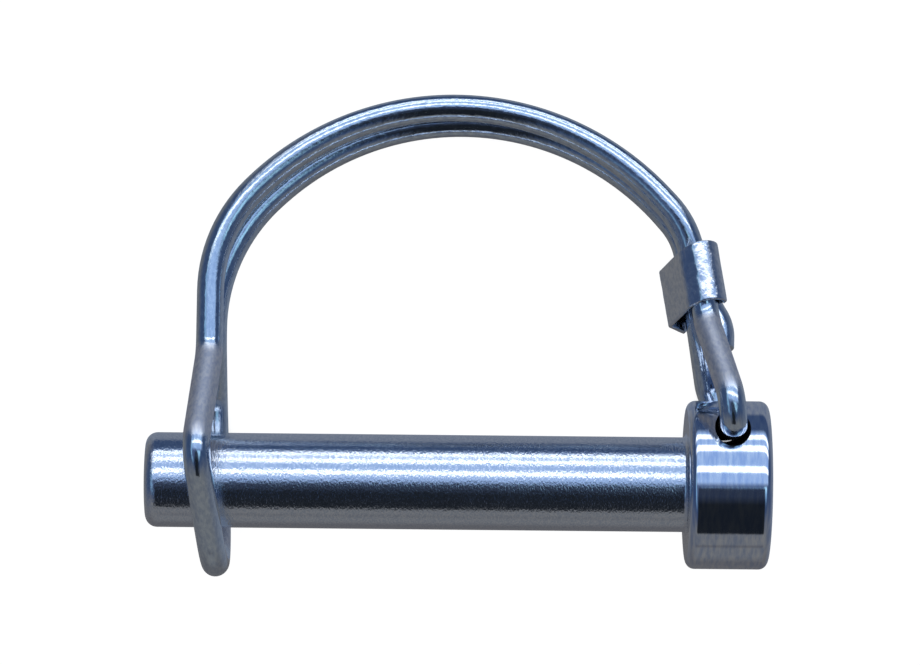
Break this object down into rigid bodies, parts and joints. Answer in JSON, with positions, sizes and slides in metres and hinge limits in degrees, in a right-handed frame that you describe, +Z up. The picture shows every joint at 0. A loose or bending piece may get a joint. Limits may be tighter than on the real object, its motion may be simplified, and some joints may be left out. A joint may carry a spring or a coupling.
{
  "type": "wire lock pin",
  "caption": "Headed locking pin with a round wire bail that springs round the pin's tip, so the pin can't back out of its holes.",
  "frame": {"origin": "on the pin's axis, at the head's shoulder, where the shank begins", "axes": "+X along the pin from its tip towards its head, +Y towards the side that the bail's arch lies on, +Z up from the surface that the part lies on"},
  "size_m": [0.0525, 0.0411, 0.0168],
  "materials": {
    "pin_steel": "turned, bright zinc plate",
    "wire_steel": "drawn spring wire, bright zinc plate",
    "sleeve_steel": "pressed strip, bright zinc plate"
  },
  "bodies": {
    "pin": {"headed_pin": "pin_steel"},
    "bail": {"spring_bail": "wire_steel", "crimp_sleeve": "sleeve_steel"}
  },
  "joints": [
    {"name": "bail_swing", "type": "hinge", "parent": "pin", "child": "bail", "pos_m": [0.0036, 0.00495, 0], "axis": [0, 0, -1], "range_deg": [0, 75], "deforming": ["spring_bail"]}
  ]
}
